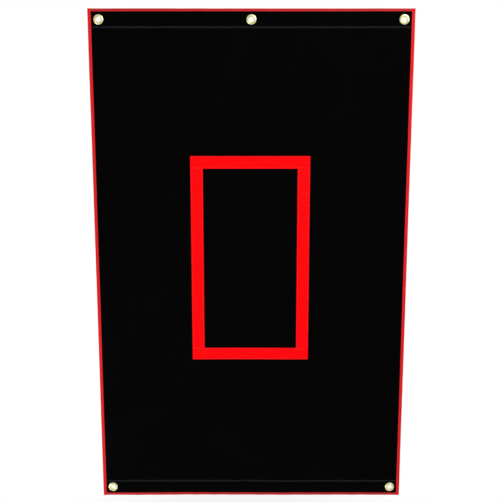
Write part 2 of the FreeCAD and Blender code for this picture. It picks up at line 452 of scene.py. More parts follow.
def lofted(name, rings, outline, along, finish, node, closed=False, crease=CREASE):
    """A piece skinned over rings of points, closed into a loop or capped at its two ends.

    outline is one ring's own flat outline. The piece's map has along as U, with one more value at the end
    of a closed loop, and the way round the outline as V."""
    size = len(outline)
    count = len(rings)
    faces = [] if closed else [tuple(range(size)), tuple(range((count - 1) * size, count * size))[::-1]]
    for row in range(count if closed else count - 1):
        after = (row + 1) % count
        for i in range(size):
            j = (i + 1) % size
            faces.append((row * size + i, row * size + j, after * size + j, after * size + i))
    piece = placed(name, closed_mesh(np.concatenate(rings), faces), finish, node, crease)
    steps = np.hypot(*np.diff(np.vstack([outline, outline[:1]]), axis=0).T)
    around = np.concatenate([[0.0], np.cumsum(steps)])
    uv = piece.data.uv_layers.new(name="along_and_around").data
    for polygon in piece.data.polygons:
        places = [divmod(piece.data.loops[i].vertex_index, size) for i in polygon.loop_indices]
        rows, columns = zip(*places)
        row_wraps = max(rows) - min(rows) > 1
        column_wraps = max(columns) - min(columns) > size // 2
        for loop, (row, column) in zip(polygon.loop_indices, places):
            u = along[count] if row_wraps and row == 0 else along[row]
            v = around[size] if column_wraps and column == 0 else around[column]
            uv[loop].uv = (u, v)
    return piece


def swept(name, along, stations, section, finish, node):
    """A bar along x or z: section(s) is its outline of (across, depth) points at s, on the hung cloth."""
    outlines = [section(s) for s in stations]
    rings = []
    for s, outline in zip(stations, outlines):
        fixed = np.full(len(outline), s)
        x, z = (fixed, outline[:, 0]) if along == "x" else (outline[:, 0], fixed)
        rings.append(np.stack([x, outline[:, 1] + hung.at(x, z), z], axis=-1))
    return lofted(name, rings, outlines[len(outlines) // 2], stations, finish, node)


def turned_ring(name, outline, centre, segments, node):
    """A brass ring turned from a closed outline of (radius, y) points about an axis along Y."""
    radius, y = outline.T
    rings = [
        np.stack([centre[0] + radius * math.cos(t), y, centre[1] + radius * math.sin(t)], axis=-1)
        for t in np.linspace(0, 2 * math.pi, segments, endpoint=False)
    ]
    around = np.arange(segments + 1) / segments
    return lofted(name, rings, outline, around, "brass", node, closed=True, crease=RING_CREASE)


# ---- Node trees


class Nodes:
    """A node tree, with short ways to add nodes whose inputs are plain values or other nodes' outputs."""

    def __init__(self, tree):
        self.tree = tree

    def join(self, value, socket):
        """Gives a socket a plain value or another node's output."""
        if isinstance(value, bpy.types.NodeSocket):
            self.tree.links.new(value, socket)
        else:
            socket.default_value = value

    def add(self, kind, values=None, **settings):
        """The outputs of a new node with its settings and its inputs' values."""
        node = self.tree.nodes.new(kind)
        for key, value in settings.items():
            setattr(node, key, value)
        for key, value in (values or {}).items():
            self.join(value, node.inputs[key])
        return node.outputs

    def math(self, operation, *values):
        """The result of a Math node."""
        return self.add("ShaderNodeMath", dict(enumerate(values)), operation=operation)[0]

    def times(self, first, second):
        """The product of two values."""
        return self.math("MULTIPLY", first, second)

    def plus(self, first, second):
        """The sum of two values."""
        return self.math("ADD", first, second)

    def mixed(self, share, first, second):
        """The result of a colour mix."""
        return self.add("ShaderNodeMix", {0: share, 6: first, 7: second}, data_type="RGBA")[2]

    def ranged(self, value, low, high, to_low, to_high, curve="LINEAR"):
        """A value moved from one range to another."""
        values = dict(enumerate((value, low, high, to_low, to_high)))
        return self.add("ShaderNodeMapRange", values, interpolation_type=curve)[0]

    def noise(self, places, scale, detail):
        """Noise from 0 to 1."""
        return self.add("ShaderNodeTexNoise", {"Vector": places, "Scale": scale, "Detail": detail})[0]

    def vector(self, **parts):
        """A vector from its parts x, y and z."""
        return self.add("ShaderNodeCombineXYZ", {key.upper(): value for key, value in parts.items()})[0]

    def coloured(self, geometry, material):
        """Ends a Geometry Nodes tree in Realize Instances and Set Material."""
        real = self.add("GeometryNodeRealizeInstances", {"Geometry": geometry})[0]
        self.finish(Geometry=self.add("GeometryNodeSetMaterial", {"Geometry": real, "Material": material})[0])

    def finish(self, **results):
        """Joins results to the tree's named outputs."""
        self.add("NodeGroupOutput", results)


def new_group(name, kind, inputs, outputs):
    """A node tree with named sockets, as Nodes, and its inputs' sockets.

    An input is given by its default, which is a number, or by the kind of its socket."""
    tree = bpy.data.node_groups.new(name, kind)
    for label, given in inputs.items():
        plain = {float: "NodeSocketFloat", int: "NodeSocketInt"}.get(type(given))
        socket = tree.interface.new_socket(label, in_out="INPUT", socket_type=plain or given)
        if plain:
            socket.default_value = given
    for label, socket_kind in outputs.items():
        tree.interface.new_socket(label, in_out="OUTPUT", socket_type=socket_kind)
    return Nodes(tree), tree.nodes.new("NodeGroupInput").outputs


def shader_group(name, inputs, *outputs):
    """A shader node group with inputs as new_group takes them, whose outputs are all numbers."""
    return new_group(name, "ShaderNodeTree", inputs, dict.fromkeys(outputs, "NodeSocketFloat"))


def geometry_tree(name, inputs):
    """A Geometry Nodes tree with inputs as new_group takes them, beside its geometry and material."""
    around = {"Geometry": "NodeSocketGeometry"}
    return new_group(
        name, "GeometryNodeTree", {**around, **inputs, "Material": "NodeSocketMaterial"}, around
    )


def weave_group():
    """Plain weave: raised threads that pass over and under each other, from places along two directions."""
    pitches = {"Along": 0.0, "Across": 0.0, "Along Pitch": 1 * MM, "Across Pitch": 1 * MM}
    nodes, start = shader_group("plain_weave", pitches, "Height", "Gap")
    waves = []
    for place in ("Along", "Across"):
        turns = nodes.math("DIVIDE", start[place], start[f"{place} Pitch"])
        waves.append(nodes.math("SINE", nodes.times(turns, math.pi)))
    warp, weft = (nodes.math("ABSOLUTE", wave) for wave in waves)
    ridge = nodes.math("MAXIMUM", warp, weft)
    lift = nodes.ranged(nodes.times(*waves), -1.0, 1.0, 0.55, 1.0)
    gap = nodes.math("SUBTRACT", 1.0, nodes.math("POWER", ridge, 0.35))
    nodes.finish(Height=nodes.times(ridge, lift), Gap=gap)


def grain_group():
    """Moulded or calendered grain: small cells over fine noise, with a broad mottle and streaky scuffs."""
    inputs = {"Vector": "NodeSocketVector", "Cell Scale": 900.0}
    nodes, start = shader_group("vinyl_grain", inputs, "Height", "Mottle", "Scuff")
    places, scale = start["Vector"], start["Cell Scale"]
    cells = nodes.add("ShaderNodeTexVoronoi", {"Vector": places, "Scale": scale}, feature="SMOOTH_F1")
    fine = nodes.noise(places, nodes.times(scale, 2.3), 2.0)
    turned = {"Vector": places, "Scale": (2.0, 2.0, 34.0), "Rotation": (0.0, math.radians(31), 0.0)}
    streaks = nodes.noise(nodes.add("ShaderNodeMapping", turned)[0], 6.0, 5.0)
    nodes.finish(
        Height=nodes.plus(cells["Distance"], nodes.times(fine, 0.5)),
        Mottle=nodes.ranged(nodes.noise(places, 5.0, 4.0), 0.3, 0.7, 0.0, 1.0),
        Scuff=nodes.ranged(streaks, 0.56, 0.74, 0.0, 1.0),
    )


def strand_group():
    """Twisted yarn: slanting ridges with a little fuzz."""
    inputs = {"Vector": "NodeSocketVector", "Twist Scale": 900.0}
    nodes, start = shader_group("twisted_strand", inputs, "Height", "Fuzz")
    slanted = {"Vector": start["Vector"], "Scale": start["Twist Scale"], "Distortion": 1.5, "Detail": 1.0}
    wave = nodes.add("ShaderNodeTexWave", slanted, bands_direction="DIAGONAL")
    nodes.finish(Height=wave["Fac"], Fuzz=nodes.noise(start["Vector"], 2600.0, 2.0))


# ---- Materials


def use_group(nodes, name, values):
    """The outputs of one of the shared groups."""
    return nodes.add("ShaderNodeGroup", values, node_tree=bpy.data.node_groups[name])


def weave(nodes, places, across, along_pitch, across_pitch):
    """The outputs of the weave group over a map or over places, whose second direction is across."""
    axes = nodes.add("ShaderNodeSeparateXYZ", {0: places})
    pitches = {"Along Pitch": along_pitch, "Across Pitch": across_pitch}
    return use_group(nodes, "plain_weave", {"Along": axes["X"], "Across": axes[across], **pitches})


def own_map(nodes):
    """The piece's own map: the place along it and the way round it."""
    return nodes.add("ShaderNodeUVMap", uv_map="along_and_around")[0]


def new_material(name):
    """A material, its nodes, and places on the piece."""
    material = bpy.data.materials.new(name)
    material.use_nodes = True
    nodes = Nodes(material.node_tree)
    return material, nodes, nodes.add("ShaderNodeTexCoord")["Object"]


def feed(nodes, base, roughness, height, strength, depth, plain):
    """Joins a colour, a roughness, a bump's height and the inputs that don't vary to the shader."""
    bump = nodes.add("ShaderNodeBump", {"Strength": strength, "Distance": depth, "Height": height})[0]
    shader = nodes.tree.nodes["Principled BSDF"]
    for key, value in {"Base Color": base, "Roughness": roughness, "Normal": bump, **plain}.items():
        nodes.join(value, shader.inputs[key])


def shade(value, factor):
    """A colour made lighter or darker, with its alpha."""
    return tuple(min(1.0, part * factor) for part in value) + (1.0,)


def coated_cloth(name, base, roughness, specular, scrim_pitch, contrast, scuffed):
    """Vinyl over a woven scrim: the scrim prints through faintly under a fine grain.

    Where the piece's "uncoated" attribute is 1, at the back, the scrim's bare polyester shows."""
    material, nodes, places = new_material(name)
    scrim = weave(nodes, places, "Z", scrim_pitch, scrim_pitch)
    grain = use_group(nodes, "vinyl_grain", {"Vector": places, "Cell Scale": 820.0})
    bare = nodes.add("ShaderNodeAttribute", attribute_name="uncoated")["Fac"]
    mottled = nodes.mixed(grain["Mottle"], shade(base, 1 - contrast), shade(base, 1 + contrast))
    coated = nodes.mixed(nodes.times(grain["Scuff"], 0.35), mottled, scuffed)
    # Painted shade: the bare scrim is coloured darker in the weave's gaps and lighter on its raised threads.
    yarn = nodes.mixed(scrim["Height"], shade(SCRIM_COLOUR, 0.5), shade(SCRIM_COLOUR, 1.2))
    rough = nodes.ranged(grain["Mottle"], 0.0, 1.0, roughness - 0.05, roughness + 0.06)
    rough = nodes.plus(rough, nodes.times(scrim["Gap"], 0.10))
    rough = nodes.plus(rough, nodes.times(bare, 0.22))
    grain_share = nodes.ranged(bare, 0.0, 1.0, 0.45, 0.15)
    height = nodes.plus(scrim["Height"], nodes.times(grain["Height"], grain_share))
    plain = {"Specular IOR Level": specular}
    feed(nodes, nodes.mixed(bare, coated, yarn), rough, height, 0.35, 0.10 * MM, plain)
    return material


def woven_tape(name, base, along_pitch, across_pitch, roughness, specular, depth):
    """Ribbed woven tape or webbing, whose weave follows the piece's own map."""
    material, nodes, places = new_material(name)
    threads = weave(nodes, own_map(nodes), "Y", along_pitch, across_pitch)
    yarn = nodes.noise(places, 1400.0, 2.0)
    broad = nodes.ranged(nodes.noise(places, 9.0, 3.0), 0.35, 0.65, 0.0, 0.22)
    # Painted shade: the tape is coloured darker in the weave's furrows and lighter on its raised threads.
    lit = nodes.mixed(threads["Height"], shade(base, 0.78), shade(base, 1.10))
    rough = nodes.ranged(yarn, 0.3, 0.7, roughness - 0.08, roughness + 0.08)
    height = nodes.plus(threads["Height"], nodes.times(yarn, 0.35))
    patchy = nodes.mixed(broad, lit, shade(base, 0.80))
    feed(nodes, patchy, rough, height, 0.55, depth, {"Specular IOR Level": specular})
    return material


def thread_material(name, base):
    """Twisted polyester sewing thread."""
    material, nodes, places = new_material(name)
    strand = use_group(nodes, "twisted_strand", {"Vector": places, "Twist Scale": 420.0})
    # Painted shade: the thread is coloured darker in the grooves of its twist and lighter on its ridges.
    lit = nodes.mixed(strand["Height"], shade(base, 0.70), shade(base, 1.15))
    rough = nodes.ranged(strand["Fuzz"], 0.3, 0.7, 0.42, 0.62)
    feed(nodes, lit, rough, strand["Height"], 0.5, 0.12 * MM, {"Specular IOR Level": 0.25})
    return material


def brass_material(name, base, tarnished):
    """Polished, lightly handled brass: turning marks round the ring, faint tarnish and fine scratches."""
    material, nodes, places = new_material(name)
    ringed = nodes.add("ShaderNodeMapping", {"Vector": own_map(nodes), "Scale": (3.0, 900.0, 1.0)})[0]
    drawn_out = {"Vector": places, "Rotation": (0.0, 0.7, 0.0), "Scale": (90.0, 90.0, 2600.0)}
    scratches = nodes.noise(nodes.add("ShaderNodeMapping", drawn_out)[0], 1.0, 2.0)
    turning = nodes.noise(ringed, 1.0, 3.0)
    dull = nodes.ranged(nodes.noise(places, 160.0, 5.0), 0.52, 0.75, 0.0, 0.55)
    rough = nodes.plus(nodes.ranged(turning, 0.3, 0.7, 0.24, 0.36), nodes.times(dull, 0.22))
    height = nodes.plus(turning, nodes.times(scratches, 0.6))
    tinted = nodes.mixed(dull, shade(base, 1.0), tarnished)
    feed(nodes, tinted, rough, height, 0.22, 0.05 * MM, {"Metallic": 1.0})
    return material


def floor_material(radius):
    """Pale painted studio floor with a slight unevenness, which fades away at its rim."""
    material, nodes, places = new_material("studio_floor")
    speckle = nodes.noise(places, 60.0, 4.0)
    tone = nodes.mixed(speckle, (0.90, 0.90, 0.90, 1.0), (0.96, 0.96, 0.96, 1.0))
    outwards = nodes.add("ShaderNodeVectorMath", {0: places}, operation="LENGTH")["Value"]
    fade = nodes.ranged(outwards, radius * 0.4, radius, 1.0, 0.0, "SMOOTHSTEP")
    feed(nodes, tone, nodes.ranged(speckle, 0.3, 0.7, 0.7, 0.8), speckle, 0.1, 0.5 * MM, {"Alpha": fade})
    return material


def make_materials(scene):
    """Every material of the panel, by the finish it gives."""
    cloth, tape, metal = scene.backstop_cloth, scene.backstop_tape, scene.backstop_hardware
    for make_group in (weave_group, grain_group, strand_group):
        make_group()
    materials["sheet"] = coated_cloth(
        "black_coated_cloth",
        cloth.colour,
        roughness=0.32,
        specular=0.022,
        scrim_pitch=1.45 * MM,
        contrast=0.35,
        scuffed=(0.0016, 0.0016, 0.0018, 1.0),
    )
    materials["target"] = coated_cloth(
        "red_vinyl",
        tape.target_colour,
        roughness=0.42,
        specular=0.03,
        scrim_pitch=1.1 * MM,
        contrast=0.035,
        scuffed=(0.93, 0.02, 0.022, 1.0),
    )
    fine = {"along_pitch": 0.7 * MM, "across_pitch": 0.6 * MM, "roughness": 0.62, "depth": 0.12 * MM}
    coarse = {"along_pitch": 2.3 * MM, "across_pitch": 1.9 * MM, "roughness": 0.55, "depth": 0.45 * MM}
    materials["webbing"] = woven_tape("black_webbing", cloth.webbing_colour, specular=0.35, **coarse)
    materials["side_tape"] = woven_tape("red_side_tape", tape.side_colour, specular=0.12, **fine)
    # The top and bottom edges take a darker copy of the same tape as painted shade.
    materials["end_tape"] = woven_tape("red_end_tape", tape.shaded_end_colour, specular=0.18, **fine)
    materials["hem_thread"] = thread_material("grey_thread", metal.hem_thread)
    materials["red_thread"] = thread_material("red_sewing_thread", metal.red_thread)
    materials["brass"] = brass_material("polished_brass", metal.brass, tarnished=(0.62, 0.55, 0.24, 1.0))


# ---- The sheet and the webbing: solids on a grid, with a hole for each grommet's barrel


def seam_dips(z, rows, cloth):
    """How far the surface is pulled in at a height z by rows of stitches."""
    total = np.zeros(np.shape(z))
    for row in rows:
        total = total + np.exp(-(((z - row) / (cloth.seam_spread / 2)) ** 2))
    return cloth.seam_dip * total


def puckers(x, z, cloth):
    """Small folds that radiate from each grommet's rim."""
    total = np.zeros(np.shape(x))
    for number, centre in enumerate(CENTRES.values()):
        away = reach(x, z, centre)
        fold = np.cos(PUCKER_FOLDS * np.arctan2(z - centre[1], x - centre[0]) + 1.3 * number)
        total = total + fold * smooth(away, *PUCKER_RISE) * (1 - smooth(away, *PUCKER_FADE))
    return cloth.pucker * total


def patches(places, half):
    """The finely divided stretches about grommets at some places along an axis."""
    return [(place - half, place + half, 2 * half / PATCH_CELLS) for place in sorted(set(places))]


def holed_slab(xs, zs, centres, half, front, back):
    """Vertices and faces of a solid on a grid of places, with a round hole at each of some centres.

    half is half the side of the square at each hole that is made of rings instead of grid cells.
    front and back give the Y of the two faces at places x, z, before the cloth's lean is added."""
    grid_x, grid_z = np.meshgrid(xs, zs, indexing="ij")
    flat = list(zip(grid_x.ravel(), grid_z.ravel()))
    middle_x, middle_z = np.meshgrid((xs[1:] + xs[:-1]) / 2, (zs[1:] + zs[:-1]) / 2, indexing="ij")
    kept = np.ones(middle_x.shape, bool)
    for x, z in centres:
        kept &= np.maximum(abs(middle_x - x), abs(middle_z - z)) > half
    quads = grid_quads(grid_x.shape)[kept].tolist()
    for centre in centres:
        quads += ring_patch(flat, xs, zs, centre, half)
    used = sorted({i for quad in quads for i in quad})
    renumber = {old: new for new, old in enumerate(used)}
    quads = [tuple(renumber[i] for i in quad) for quad in quads]
    x, z = np.array([flat[i] for i in used]).T
    lean = hung.at(x, z)
    layers = [np.stack([x, level(x, z) + lean, z], axis=-1) for level in (front, back)]

    count = len(used)
    edges = {(a, b) for quad in quads for a, b in zip(quad, quad[1:] + quad[:1])}
    walls = [(b, a, a + count, b + count) for a, b in sorted(edges) if (b, a) not in edges]
    backs = [tuple(count + i for i in reversed(quad)) for quad in quads]
    return np.concatenate(layers), quads + backs + walls


def ring_patch(flat, xs, zs, centre, half):
    """Quads from a square of grid points inwards to a barrel's hole. New points are added to flat."""
    columns = [i for i, x in enumerate(xs) if abs(x - centre[0]) < half + 1e-7]
    levels = [k for k, z in enumerate(zs) if abs(z - centre[1]) < half + 1e-7]
    loop = [(i, levels[0]) for i in columns[:-1]] + [(columns[-1], k) for k in levels[:-1]]
    loop += [(i, levels[-1]) for i in columns[:0:-1]] + [(columns[0], k) for k in levels[:0:-1]]
    outer = [i * len(zs) + k for i, k in loop]
    quads = []
    previous = outer
    for ring in range(1, PATCH_RINGS + 1):
        current = list(range(len(flat), len(flat) + len(outer)))
        for place in outer:
            across, up = flat[place][0] - centre[0], flat[place][1] - centre[1]
            away = math.hypot(across, up)
            share = (away + (CLOTH_HOLE - away) * ring / PATCH_RINGS) / away
            flat.append((centre[0] + across * share, centre[1] + up * share))
        for i in range(len(outer)):
            j = (i + 1) % len(outer)
            quads.append((previous[i], previous[j], current[j], current[i]))
        previous = current
    return quads


def make_sheet(cloth):
    """The black sheet: a graded grid, with a ring-shaped patch round each grommet's hole."""
    half = cloth.patch
    across, up = zip(*CENTRES.values())
    margin = 4 * MM
    seams = [
        (min(up) + half, HEM_ROWS["bottom"][1] + margin, cloth.seam_cell),
        (HEM_ROWS["top"][0] - margin, max(up) - half, cloth.seam_cell),
    ]
    xs = graded(sheet_low.x, sheet_high.x, cloth.cell, patches(across, half))
    zs = graded(sheet_low.z, sheet_high.z, cloth.cell, patches(up, half) + seams)

    def front(x, z):
        return sheet_low.y + puckers(x, z, cloth) + seam_dips(z, HEM_ROWS["top"] + HEM_ROWS["bottom"], cloth)

    def back(x, z):
        return sheet_high.y + puckers(x, z, cloth)

    vertices, faces = holed_slab(xs, zs, CENTRES.values(), half, front, back)
    piece = placed("sheet_cloth", closed_mesh(vertices, faces), "sheet", "main_sheet")
    write(piece.data, "uncoated", "FLOAT", np.arange(len(vertices)) >= len(vertices) // 2)
    return piece


def rounded(z, low, high):
    """How far a strip's faces curve in near its two long edges, about half its thickness at the edge."""
    inside = np.clip(np.minimum(z - low, high - z), 0.0, WOVEN_RADIUS)
    return WOVEN_RADIUS - np.sqrt(np.maximum(WOVEN_RADIUS**2 - (WOVEN_RADIUS - inside) ** 2, 0.0))


def make_webbing(cloth):
    """The hem's reinforcement strips, with rounded woven edges and a hole for each grommet."""
    tree = rib_tree()
    half = cloth.patch
    lane = cloth.rib / 4
    for end in ENDS:
        node = f"{end}_hem_webbing"
        low, high = span(node, "z")
        centres = [centre for place, centre in CENTRES.items() if place.startswith(end)]
        across, up = zip(*centres)
        edges = [(low, low + WOVEN_EDGE, WOVEN_EDGE / 5), (high - WOVEN_EDGE, high, WOVEN_EDGE / 5)]
        xs = graded(*span(node, "x"), cloth.cell, patches(across, half))
        zs = graded(low, high, lane, edges + [(up[0] - half, up[0] + half, lane)])

        def front(x, z):
            return WEBBING_FRONT + rounded(z, low, high)

        def back(x, z):
            return WEBBING_BACK - rounded(z, low, high) - seam_dips(z, HEM_ROWS[end], cloth)

        vertices, faces = holed_slab(xs, zs, centres, half, front, back)
        x, z = vertices[:, 0], vertices[:, 2]
        raised = smooth(np.minimum(z - low, high - z), *RIB_FADE)
        raised[: len(vertices) // 2] = 0.0
        for centre in centres:
            raised *= smooth(reach(x, z, centre), half - MM, half + 8 * MM)
        mesh = closed_mesh(vertices, faces)
        write(mesh, "raised", "FLOAT", raised)
        values = {"Rib Pitch": cloth.rib, "Rib Depth": cloth.rib_depth, "First Rib": low}
        mesh = through_tree(mesh, tree, {**values, "Material": materials["webbing"]})
        piece = placed(f"{end}_webbing", mesh, "webbing", node)
        corners = read(mesh.loops, "vertex_index", 1, np.int32)[:, 0]
        flat_map = read(mesh.vertices, "co", 3)[corners][:, [0, 2]]
        piece.data.uv_layers.new(name="along_and_around").data.foreach_set("uv", flat_map.ravel())


def rib_tree():
    """A node tree that presses furrows between lengthwise ribs, as deep as each point's "raised" allows."""
    inputs = {"Rib Pitch": 2.3 * MM, "Rib Depth": 0.16 * MM, "First Rib": 0.0}
    nodes, start = geometry_tree("webbing_ribs", inputs)
    height = nodes.add("ShaderNodeSeparateXYZ", {0: nodes.add("GeometryNodeInputPosition")[0]})["Z"]
    turns = nodes.math("DIVIDE", nodes.math("SUBTRACT", height, start["First Rib"]), start["Rib Pitch"])
    wave = nodes.math("COSINE", nodes.times(turns, 2 * math.pi))
    raised = nodes.add("GeometryNodeInputNamedAttribute", {"Name": "raised"}, data_type="FLOAT")[0]
    depth = nodes.times(nodes.ranged(wave, -1.0, 1.0, 1.0, 0.0), raised)
    push = nodes.vector(y=nodes.times(nodes.times(depth, start["Rib Depth"]), -1.0))
    moved = nodes.add("GeometryNodeSetPosition", {"Geometry": start["Geometry"], "Offset": push})
    nodes.coloured(moved[0], start["Material"])
    return nodes.tree


# ---- The folded tape and the target's strips


def beyond(s, edges, ramp):
    """1 past either of two places along the panel, 0 between them, with a ramp before each."""
    return smooth(s, edges[1] - ramp, edges[1]) + smooth(-s, -edges[0] - ramp, -edges[0])


def tape_levels(edge, s, hem_ramp, lap_ramp):
    """The outer levels of a tape's front and back legs at a place along it.

    A side tape steps out over the webbing and over the ends of the top and bottom tapes."""
    if edge in ENDS:
        return TAPE_FRONT, HEM_TAPE_BACK
    over_hem = (HEM_TAPE_BACK - TAPE_BACK) * beyond(s, HEM_EDGES, hem_ramp)
    over_lap = TAPE_THICKNESS * beyond(s, LAP_EDGES, lap_ramp)
    return TAPE_FRONT - over_lap, TAPE_BACK + over_hem + over_lap


def tape_outline(edge, inner, inwards, levels, seam, tape, cloth):
    """A folded tape's section: a round fold over the edge and two legs that end in a selvedge.

    edge, inner and seam are places across the panel: the fold, the ends of the legs and the row of
    stitches. inwards is 1 or -1, towards the panel's middle. levels are the outer levels of the legs."""
    front, back = levels
    outer_r = (back - front) / 2
    fold_r = min(outer_r, FOLD_RADIUS)
    fold = edge + inwards * fold_r
    tip = inner - inwards * tape.selvedge
    groove = seam + inwards * cloth.seam_spread * np.linspace(-1.0, 1.0, 5)
    lanes = np.concatenate([fold + (groove[0] - fold) * np.array([0.3, 0.7]), groove])
    dips = seam_dips(lanes, [seam], cloth)
    turn = np.radians(np.linspace(90, -90, 6))
    legs = []
    for level, out in ((front, -1), (back, 1)):
        outside = np.stack([lanes, level - out * dips * TAPE_DIP], axis=-1)
        core = level - out * TAPE_THICKNESS / 2
        bead = np.stack([inwards * np.cos(turn), out * np.sin(turn)], axis=-1) * tape.selvedge + (tip, core)
        inside = np.stack([lanes[::-1], np.full(len(lanes), level - out * LEG_THICKNESS)], axis=-1)
        legs.append(np.concatenate([outside, bead, inside]))
    angles = np.radians(np.linspace(-90, 90, 9))
    bend = np.stack([-inwards * np.cos(angles), np.sin(angles)], axis=-1)
    middle = (fold, (front + back) / 2)
    outer_fold = bend * (fold_r, outer_r) + middle
    inner_fold = bend[::-1] * (fold_r - TAPE_THICKNESS, outer_r - TAPE_THICKNESS) + middle
    return np.concatenate([legs[0][::-1], outer_fold, legs[1], inner_fold])


def make_bindings(tape, cloth):
    """Red tape folded over the four edges. The side tapes run over the ends of the top and bottom ones."""
    for edge, (across, along) in EDGES.items():
        node = f"{edge}_binding"
        low, high = span(node, across)
        outer, inner, inwards = (high, low, -1) if edge in ("top", "right") else (low, high, 1)
        seam = sum(span(f"{edge}_binding_stitching", across)) / 2
        rate, shift = (9.1, 4.0) if edge in ENDS else (7.3, 5.0)

        def section(s):
            stray = tape.wander * math.sin(rate * s + shift * outer) * inwards
            levels = tape_levels(edge, s, HEM_RAMP, LAP_RAMP)
            return tape_outline(outer, inner + stray, inwards, levels, seam, tape, cloth)

        start, end = span(node, along)
        steps = [
            (start, LAP_EDGES[0] + LAP_REACH, LAP_STEP),
            (HEM_EDGES[0] - MM, HEM_EDGES[0] + HEM_REACH, HEM_STEP),
            (HEM_EDGES[1] - HEM_REACH, HEM_EDGES[1] + MM, HEM_STEP),
            (LAP_EDGES[1] - LAP_REACH, end, LAP_STEP),
        ]
        stations = graded(start, end, tape.station, [] if edge in ENDS else steps)
        # The top and bottom tapes get the darker copy of the tape, which is painted shade.
        swept(f"{edge}_tape", along, stations, section, "end_tape" if edge in ENDS else "side_tape", node)


def strip_outline(low, high, near, far, rows, cloth):
    """A flat strip's section: rounded cut edges, and a groove at each row of stitches."""
    half_groove, fine, coarse = 1.5 * MM, 0.5 * MM, 7 * MM
    grooves = [(row - half_groove, row + half_groove, fine) for row in rows]
    lanes = graded(low + CUT_EDGE_RADIUS, high - CUT_EDGE_RADIUS, coarse, grooves)
    face = np.stack([lanes, far + seam_dips(lanes, rows, cloth)], axis=-1)
    underside = np.stack([lanes[::-1], np.full(len(lanes), near)], axis=-1)
    high_edge = [(high, far + CUT_EDGE_RADIUS), (high, near)]
    low_edge = [(low, near), (low, far + CUT_EDGE_RADIUS)]
    return np.concatenate([face, high_edge, underside, low_edge])


def make_target(tape, cloth):
    """The four red strips of the target frame."""
    for edge, (across, along) in EDGES.items():
        node = f"target_strip_{edge}"
        front, back = span(node, "y")
        rows = row_pair(f"target_stitching_{edge}", across)
        outline = strip_outline(*span(node, across), back - CLEARANCE, front, rows, cloth)
        stations = spaced(*span(node, along), tape.station)
        swept(f"target_{edge}", along, stations, lambda s: outline, "target", node)


# ---- Grommets


def dome(start, end, rise, count):
    """Points on a curve from start to end that bulges to the front by rise."""
    share = np.linspace(0.0, 1.0, count)[:, None]
    return (1 - share) * start + share * end - 4 * share * (1 - share) * (0.0, rise)


def grommet_outline(hole, low, high, washer_face, rim):
    """A set grommet's section: a domed flange on the sheet's front, a barrel and a rolled-over end."""
    crown_radius, lip_radius = 2.0 * MM, 0.35 * MM
    outer_bulge, inner_bulge = 0.9 * MM, 0.7 * MM
    lip_rise, lip_gap, lip_inset = 0.30 * MM, 0.02 * MM, 0.2 * MM
    sheet_front = sheet_low.y
    throat = (hole + crown_radius, low + crown_radius)
    lip = (rim - lip_radius, sheet_front - lip_gap)
    roll_centre = (hole + METAL / 2 + MM, washer_face)
    roll_radius = high - washer_face - METAL / 2
    curl = round_points(throat, crown_radius, 180, 270, 9)
    crown = np.array([throat[0], low])
    wall = [(hole, throat[1] + (washer_face - throat[1]) * share) for share in (0.66, 0.33)]
    return np.concatenate(
        [
            curl[1:],
            dome(crown, np.array([lip[0], sheet_front - lip_rise]), outer_bulge, 9)[1:],
            round_points(lip, lip_radius, -40, 90, 5),
            dome(np.array([rim - METAL - lip_inset, sheet_front]), crown + (0.0, METAL), inner_bulge, 7),
            round_points(throat, crown_radius - METAL, 270, 180, 7)[1:],
            round_points(roll_centre, roll_radius - METAL / 2, 180, 0, 9),
            round_points(roll_centre, roll_radius + METAL / 2, 0, 180, 11),
            wall,
            curl[:1],
        ]
    )


def washer_outline(high, rim):
    """A washer's section: a flat land round the barrel, and a domed skirt that comes down to the webbing."""
    land_width, rim_edge = 2.1 * MM, 0.1 * MM
    face = WEBBING_BACK + METAL
    land = CLOTH_HOLE + land_width
    rise = high - WEBBING_BACK
    top = dome(np.array([land, face]), np.array([rim, WEBBING_BACK + rim_edge]), 0.5 * METAL - rise, 9)
    skirt = (np.array([rim - METAL, WEBBING_BACK]), np.array([land + METAL / 2, WEBBING_BACK]))
    flat_land = [(CLOTH_HOLE, WEBBING_BACK), (CLOTH_HOLE, face), (land, face)]
    return np.concatenate([flat_land, top[1:], [(rim, WEBBING_BACK)], dome(*skirt, METAL - rise, 7)])


def make_grommets(hardware):
    """Five brass grommets and the washers behind them."""
    for place, centre in CENTRES.items():
        for kind, name in (("grommet", "eyelet"), ("washer", "backing")):
            node = f"{kind}_{place}"
            low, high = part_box(node)
            rim = (high.x - low.x) / 2
            if kind == "grommet":
                outline = grommet_outline(BORE, low.y, high.y, WEBBING_BACK + METAL, rim)
            else:
                outline = washer_outline(high.y, rim)
            turned_ring(f"{name}_{place}", outline, centre, hardware.segments, node)


# ---- Stitches, set out along their seams by Geometry Nodes


